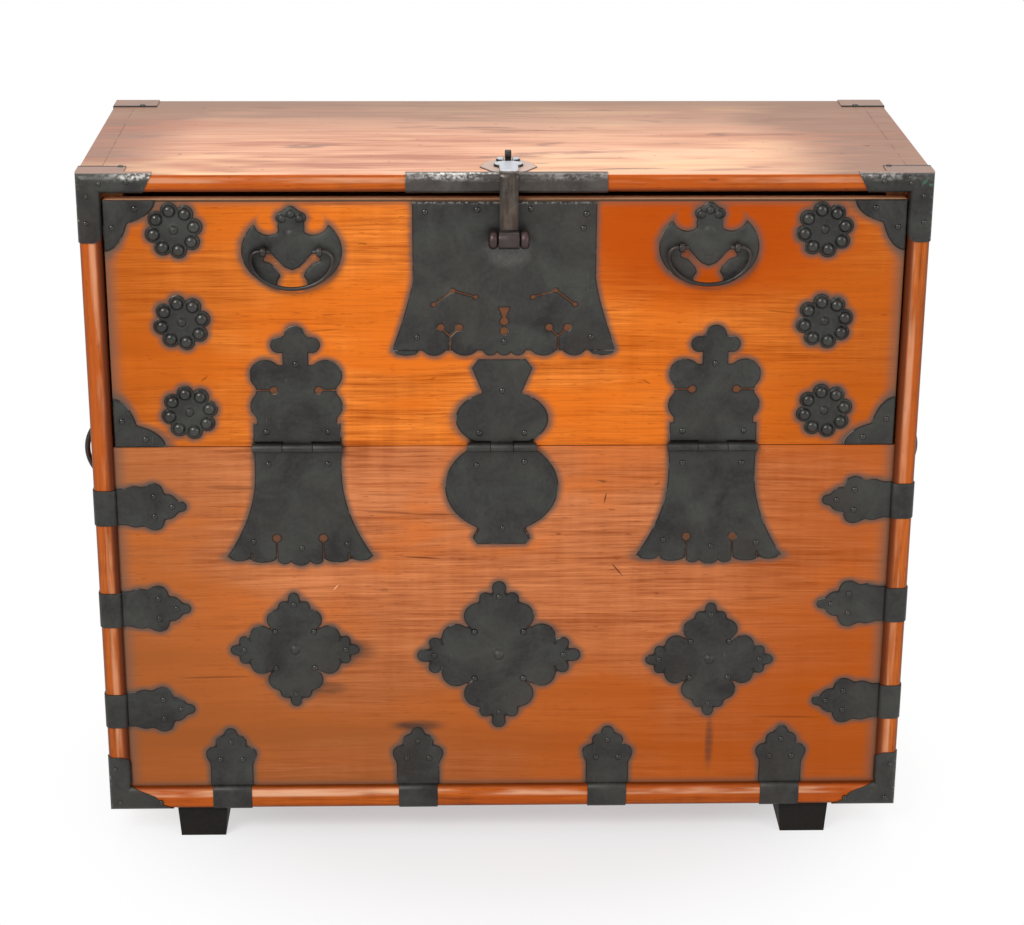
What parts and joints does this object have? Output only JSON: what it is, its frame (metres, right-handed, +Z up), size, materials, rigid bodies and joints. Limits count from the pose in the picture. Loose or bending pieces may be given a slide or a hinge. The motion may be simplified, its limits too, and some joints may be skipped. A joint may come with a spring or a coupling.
{
  "type": "drop-front chest",
  "caption": "Wooden blanket chest with a drop-front door, iron hinges, hasp, lock plate, corner irons, bail handles and runner feet.",
  "frame": {"origin": "middle of the whole chest's base, on the floor, with the fittings and handles counted in its width and depth", "axes": "+X to the right along the front, +Y from the front to the back, +Z up"},
  "size_m": [0.9658, 0.3856, 0.8096],
  "materials": {
    "frame_wood": "satin oiled",
    "door_wood": "satin oiled",
    "panel_wood": "satin oiled",
    "back_wood": "raw, aged",
    "runner_wood": "dark, worn",
    "sheet_iron": "beaten, aged, dull",
    "forged_iron": "forged, rubbed by hands"
  },
  "bodies": {
    "carcass": {"top_board": "frame_wood", "bottom_board": "frame_wood", "side_board_left": "frame_wood", "side_board_right": "frame_wood", "front_panel": "panel_wood", "back_plank_lower": "back_wood", "back_plank_middle": "back_wood", "back_plank_upper": "back_wood", "runner_left": "runner_wood", "runner_right": "runner_wood", "door_stop_left": "back_wood", "door_stop_right": "back_wood", "corner_iron_top_left": "sheet_iron", "corner_iron_top_right": "sheet_iron", "corner_iron_bottom_left": "sheet_iron", "corner_iron_bottom_right": "sheet_iron", "rear_corner_irons": "sheet_iron", "top_edge_sheath": "sheet_iron", "side_straps_left": "sheet_iron", "side_straps_right": "sheet_iron", "bottom_straps": "sheet_iron", "diamond_left": "sheet_iron", "diamond_middle": "sheet_iron", "diamond_right": "sheet_iron", "hinge_left_lower": "sheet_iron", "hinge_middle_lower": "sheet_iron", "hinge_right_lower": "sheet_iron", "hasp_rest_plate": "sheet_iron", "hasp_staple": "forged_iron", "side_handle_roses_left": "sheet_iron", "side_handle_roses_right": "sheet_iron", "side_handle_eyes_left": "forged_iron", "side_handle_eyes_right": "forged_iron"},
    "door": {"door_board": "door_wood", "hinge_left_upper": "sheet_iron", "hinge_middle_upper": "sheet_iron", "hinge_right_upper": "sheet_iron", "door_corner_plates": "sheet_iron", "rosettes_left": "sheet_iron", "rosettes_right": "sheet_iron", "bail_plate_left": "sheet_iron", "bail_plate_right": "sheet_iron", "bail_eyes_left": "forged_iron", "bail_eyes_right": "forged_iron", "lock_plate": "sheet_iron", "lock_eyes": "forged_iron"},
    "hasp_body": {"hasp": "forged_iron"},
    "bail_body_left": {"bail_left": "forged_iron"},
    "bail_body_right": {"bail_right": "forged_iron"},
    "side_bail_body_left": {"side_bail_left": "forged_iron"},
    "side_bail_body_right": {"side_bail_right": "forged_iron"}
  },
  "joints": [
    {"name": "door_drop", "type": "hinge", "parent": "carcass", "child": "door", "pos_m": [0, -0.17565, 0.48551], "axis": [1, 0, 0], "range_deg": [0, 150]},
    {"name": "hasp_lift", "type": "hinge", "parent": "door", "child": "hasp_body", "pos_m": [0.0025, -0.18245, 0.725], "axis": [1, 0, 0], "range_deg": [0, 170]},
    {"name": "bail_swing_left", "type": "hinge", "parent": "door", "child": "bail_body_left", "pos_m": [-0.231, -0.17915, 0.711], "axis": [-1, 0, 0], "range_deg": [0, 150]},
    {"name": "bail_swing_right", "type": "hinge", "parent": "door", "child": "bail_body_right", "pos_m": [0.21901, -0.17915, 0.715], "axis": [-1, 0, 0], "range_deg": [0, 150]},
    {"name": "side_bail_swing_left", "type": "hinge", "parent": "carcass", "child": "side_bail_body_left", "pos_m": [-0.4705, 0.00765, 0.46904], "axis": [0, 1, 0], "range_deg": [0, 150]},
    {"name": "side_bail_swing_right", "type": "hinge", "parent": "carcass", "child": "side_bail_body_right", "pos_m": [0.4705, 0.00765, 0.46904], "axis": [0, -1, 0], "range_deg": [0, 150]}
  ]
}
